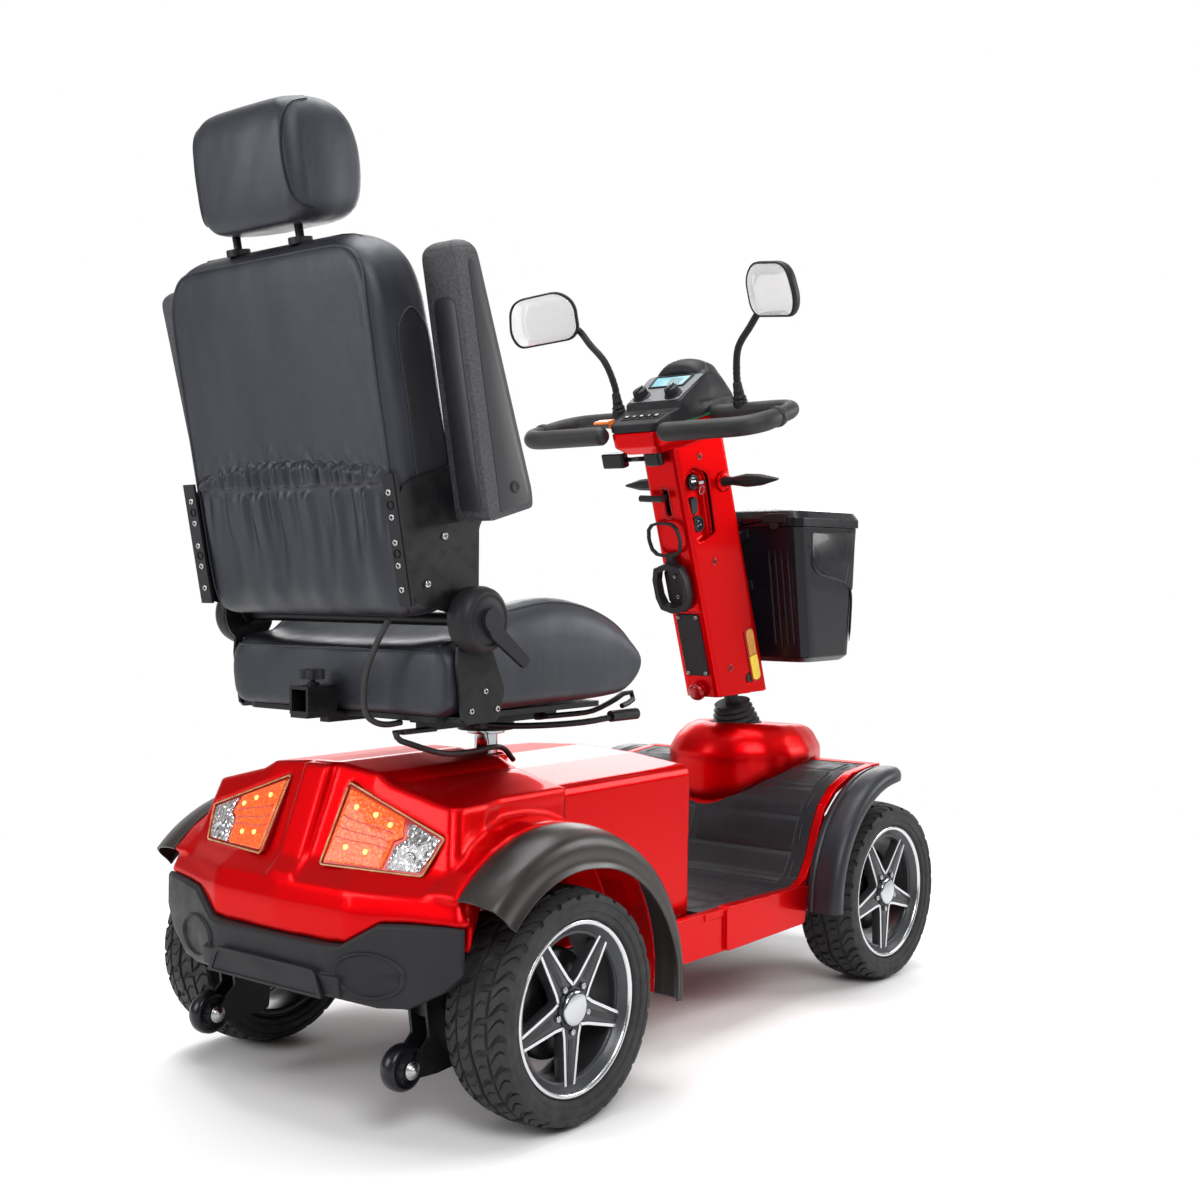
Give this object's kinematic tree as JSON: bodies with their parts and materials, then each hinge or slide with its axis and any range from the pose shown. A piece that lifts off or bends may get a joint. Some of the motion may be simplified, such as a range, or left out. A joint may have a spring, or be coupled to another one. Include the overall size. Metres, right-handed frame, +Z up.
{
  "type": "mobility scooter",
  "caption": "Large mobility scooter with a captain's seat on a swivel post, a tilting tiller with wraparound handles, a lidded luggage box, mirrors, fenders and anti-tip wheels.",
  "frame": {"origin": "middle of the bounding box on the ground plane under the tyres", "axes": "+X forward (the way it drives), +Y to the rider's left, +Z up"},
  "size_m": [1.4621, 0.742, 1.414],
  "materials": {
    "tyre": "matt, ribbed tread",
    "alloy": "machined faces on grey paint",
    "body_red": "gloss candy red lacquer with fine metal flake",
    "trim_black": "fine moulded grain",
    "fender_brown": "satin, warm dark grey",
    "lamp": "clear orange",
    "mat_rubber": "matt",
    "frame_black": "satin black powder coat",
    "chrome": "polished",
    "gloss_black": "gloss",
    "leather": "soft grained artificial leather",
    "arm_pad": "coarse moulded grain"
  },
  "bodies": {
    "chassis": {"chassis_frame": "frame_black", "transaxle": "frame_black", "battery_pack": "trim_black", "rear_shroud": "body_red", "seat_box": "body_red", "tail_lamp_left": "lamp", "tail_lamp_right": "lamp", "rear_bumper": "trim_black", "rear_fender_left": "fender_brown", "rear_fender_right": "fender_brown", "floor_pan": "body_red", "floor_mat": "mat_rubber", "front_cowl": "body_red", "front_fender_left": "trim_black", "front_fender_right": "trim_black", "seat_post": "chrome", "seat_cable_lower": "mat_rubber"},
    "rear_left_wheel": {"rear_left_tyre": "tyre", "rear_left_rim": "alloy"},
    "rear_right_wheel": {"rear_right_tyre": "tyre", "rear_right_rim": "alloy"},
    "anti_tip_left": {"anti_tip_wheel_left": "trim_black"},
    "anti_tip_right": {"anti_tip_wheel_right": "trim_black"},
    "column": {"steering_column": "mat_rubber"},
    "left_knuckle": {"knuckle_left": "frame_black"},
    "front_left_wheel": {"front_left_tyre": "tyre", "front_left_rim": "alloy"},
    "right_knuckle": {"knuckle_right": "frame_black"},
    "front_right_wheel": {"front_right_tyre": "tyre", "front_right_rim": "alloy"},
    "tiller": {"tiller_cover": "body_red", "console_housing": "trim_black", "handlebar_left": "mat_rubber", "handlebar_right": "mat_rubber", "turn_signal_left": "trim_black", "turn_signal_right": "trim_black", "bag_hook": "trim_black", "front_box": "gloss_black"},
    "throttle": {"throttle_lever": "trim_black"},
    "speed_dial": {"speed_knob": "trim_black"},
    "light_dial": {"light_knob": "trim_black"},
    "key": {"ignition_key": "chrome"},
    "hazard": {"hazard_switch": "lamp"},
    "tilt_release": {"tilt_lever": "trim_black"},
    "left_mirror": {"mirror_left": "trim_black"},
    "right_mirror": {"mirror_right": "trim_black"},
    "lid": {"box_lid": "gloss_black"},
    "swivel": {"seat_base": "frame_black"},
    "seat": {"seat_pan": "frame_black", "seat_cushion": "leather", "seat_cable_upper": "mat_rubber"},
    "swivel_release": {"swivel_lever": "frame_black"},
    "slide_release": {"slide_handle": "frame_black"},
    "receiver_screw": {"receiver_knob": "trim_black"},
    "recline_release": {"recline_lever": "trim_black"},
    "back": {"back_frame": "frame_black", "backrest": "leather"},
    "headrest_body": {"headrest": "leather"},
    "left_armrest": {"armrest_left": "arm_pad"},
    "right_armrest": {"armrest_right": "arm_pad"}
  },
  "joints": [
    {"name": "rear_left_spin", "type": "hinge", "parent": "chassis", "child": "rear_left_wheel", "pos_m": [-0.43592, 0.313, 0.165], "axis": [0, 1, 0], "continuous": true},
    {"name": "rear_right_spin", "type": "hinge", "parent": "chassis", "child": "rear_right_wheel", "pos_m": [-0.43592, -0.313, 0.165], "axis": [0, 1, 0], "continuous": true},
    {"name": "anti_tip_left_spin", "type": "hinge", "parent": "chassis", "child": "anti_tip_left", "pos_m": [-0.62392, 0.209, 0.1005], "axis": [0, 1, 0], "continuous": true},
    {"name": "anti_tip_right_spin", "type": "hinge", "parent": "chassis", "child": "anti_tip_right", "pos_m": [-0.62392, -0.209, 0.1005], "axis": [0, 1, 0], "continuous": true},
    {"name": "steer", "type": "hinge", "parent": "chassis", "child": "column", "pos_m": [0.45908, 0, 0.535], "axis": [-0.2974, 0, 0.9548], "range_deg": [-30, 30]},
    {"name": "left_kingpin", "type": "hinge", "parent": "chassis", "child": "left_knuckle", "pos_m": [0.53408, 0.2, 0.165], "axis": [0, 0, 1], "range_deg": [-30, 30]},
    {"name": "front_left_spin", "type": "hinge", "parent": "left_knuckle", "child": "front_left_wheel", "pos_m": [0.53408, 0.265, 0.165], "axis": [0, 1, 0], "continuous": true},
    {"name": "right_kingpin", "type": "hinge", "parent": "chassis", "child": "right_knuckle", "pos_m": [0.53408, -0.2, 0.165], "axis": [0, 0, 1], "range_deg": [-30, 30]},
    {"name": "front_right_spin", "type": "hinge", "parent": "right_knuckle", "child": "front_right_wheel", "pos_m": [0.53408, -0.265, 0.165], "axis": [0, 1, 0], "continuous": true},
    {"name": "tiller_tilt", "type": "hinge", "parent": "column", "child": "tiller", "pos_m": [0.45135, 0, 0.55982], "axis": [0, 1, 0], "range_deg": [-12, 12]},
    {"name": "throttle_turn", "type": "hinge", "parent": "tiller", "child": "throttle", "pos_m": [0.21312, 0, 0.97161], "axis": [-0.2974, 0, 0.9548], "range_deg": [-12, 12], "stiffness_Nm_per_rad": 0.6},
    {"name": "speed_turn", "type": "hinge", "parent": "tiller", "child": "speed_dial", "pos_m": [0.22427, 0.036, 1.08711], "axis": [-0.5945, 0, 0.8041], "range_deg": [0, 270]},
    {"name": "light_turn", "type": "hinge", "parent": "tiller", "child": "light_dial", "pos_m": [0.22427, -0.036, 1.08711], "axis": [-0.5945, 0, 0.8041], "range_deg": [0, 90]},
    {"name": "key_turn", "type": "hinge", "parent": "tiller", "child": "key", "pos_m": [0.28729, -0.048, 0.93187], "axis": [0, -1, 0], "range_deg": [0, 90]},
    {"name": "hazard_rock", "type": "hinge", "parent": "tiller", "child": "hazard", "pos_m": [0.1602, 0.062, 1.03054], "axis": [0, 1, 0], "range_deg": [-8, 8]},
    {"name": "tilt_lever_press", "type": "hinge", "parent": "tiller", "child": "tilt_release", "pos_m": [0.26979, 0, 0.91071], "axis": [0, 1, 0], "range_deg": [-15, 0], "stiffness_Nm_per_rad": 1, "springref_deg": 5.73},
    {"name": "mirror_left_swing", "type": "hinge", "parent": "tiller", "child": "left_mirror", "pos_m": [0.28421, 0.14, 1.07964], "axis": [-0.2974, 0, 0.9548], "range_deg": [-30, 30]},
    {"name": "mirror_right_swing", "type": "hinge", "parent": "tiller", "child": "right_mirror", "pos_m": [0.28421, -0.14, 1.07964], "axis": [-0.2974, 0, 0.9548], "range_deg": [-30, 30]},
    {"name": "lid_open", "type": "hinge", "parent": "tiller", "child": "lid", "pos_m": [0.712, 0, 0.8515], "axis": [0, 1, 0], "range_deg": [0, 95]},
    {"name": "seat_swivel", "type": "hinge", "parent": "chassis", "child": "swivel", "pos_m": [-0.23692, 0, 0.512], "axis": [0, 0, 1], "range_deg": [-90, 90]},
    {"name": "seat_slide", "type": "slide", "parent": "swivel", "child": "seat", "axis": [1, 0, 0], "range_m": [-0.06, 0.06]},
    {"name": "swivel_lever_press", "type": "hinge", "parent": "swivel", "child": "swivel_release", "pos_m": [-0.37592, -0.12, 0.5414], "axis": [0, 1, 0], "range_deg": [0, 6], "stiffness_Nm_per_rad": 8, "springref_deg": -5.73},
    {"name": "slide_handle_lift", "type": "hinge", "parent": "seat", "child": "slide_release", "pos_m": [-0.28592, -0.16, 0.5455], "axis": [0, 1, 0], "range_deg": [-3, 0], "stiffness_Nm_per_rad": 8, "springref_deg": 5.73},
    {"name": "receiver_screw_turn", "type": "hinge", "parent": "seat", "child": "receiver_screw", "pos_m": [-0.59792, 0, 0.61], "axis": [0, 0, 1], "range_deg": [0, 360]},
    {"name": "recline_lever_lift", "type": "hinge", "parent": "seat", "child": "recline_release", "pos_m": [-0.52092, -0.28, 0.7], "axis": [0, 1, 0], "range_deg": [-25, 0], "stiffness_Nm_per_rad": 1.5, "springref_deg": 11.46},
    {"name": "recline", "type": "hinge", "parent": "seat", "child": "back", "pos_m": [-0.52092, 0, 0.7], "axis": [0, 1, 0], "range_deg": [-35, 20], "deforming": ["seat_cable_upper"]},
    {"name": "headrest_lift", "type": "slide", "parent": "back", "child": "headrest_body", "axis": [-0.1839, 0, 0.9829], "range_m": [0, 0.06]},
    {"name": "armrest_left_fold", "type": "hinge", "parent": "back", "child": "left_armrest", "pos_m": [-0.48984, 0.286, 0.88182], "axis": [0, 1, 0], "range_deg": [0, 103.6]},
    {"name": "armrest_right_fold", "type": "hinge", "parent": "back", "child": "right_armrest", "pos_m": [-0.48984, -0.262, 0.88182], "axis": [0, 1, 0], "range_deg": [0, 100.6]}
  ],
  "couplings": [
    {"joint": "left_kingpin", "follows": "steer", "ratio": 1},
    {"joint": "right_kingpin", "follows": "steer", "ratio": 1}
  ]
}
